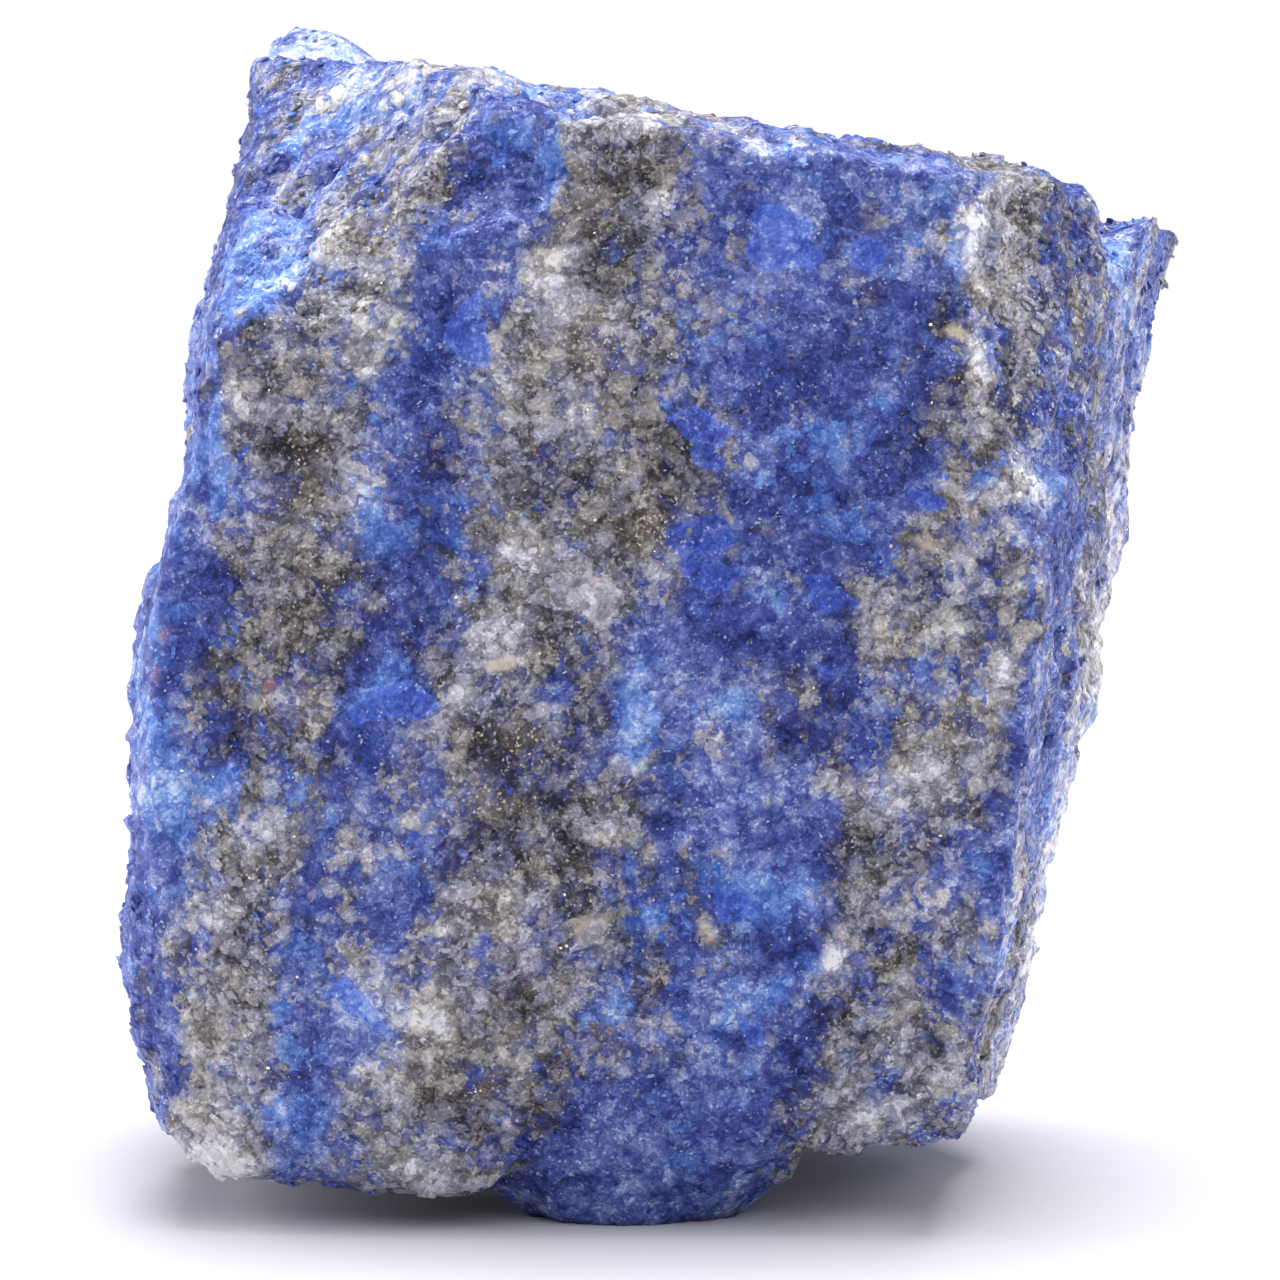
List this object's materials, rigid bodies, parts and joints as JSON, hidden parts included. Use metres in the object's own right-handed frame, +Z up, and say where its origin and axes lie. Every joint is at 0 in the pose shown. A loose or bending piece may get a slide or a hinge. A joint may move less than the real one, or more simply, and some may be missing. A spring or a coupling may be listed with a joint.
{
  "type": "rough lapis lazuli stone",
  "caption": "Rough block of lapis lazuli with broken faces, a sloping shoulder, a horn at the back corner and a small flat spot to rest on.",
  "frame": {"origin": "on the small flat spot that the stone rests on", "axes": "+Z up, -Y out of the broad front face, +X to the right seen from the front"},
  "size_m": [0.0456, 0.0342, 0.0487],
  "materials": {
    "lapis": "rough",
    "pyrite": "metallic"
  },
  "bodies": {
    "root": {"lapis_stone": "lapis"}
  },
  "joints": []
}
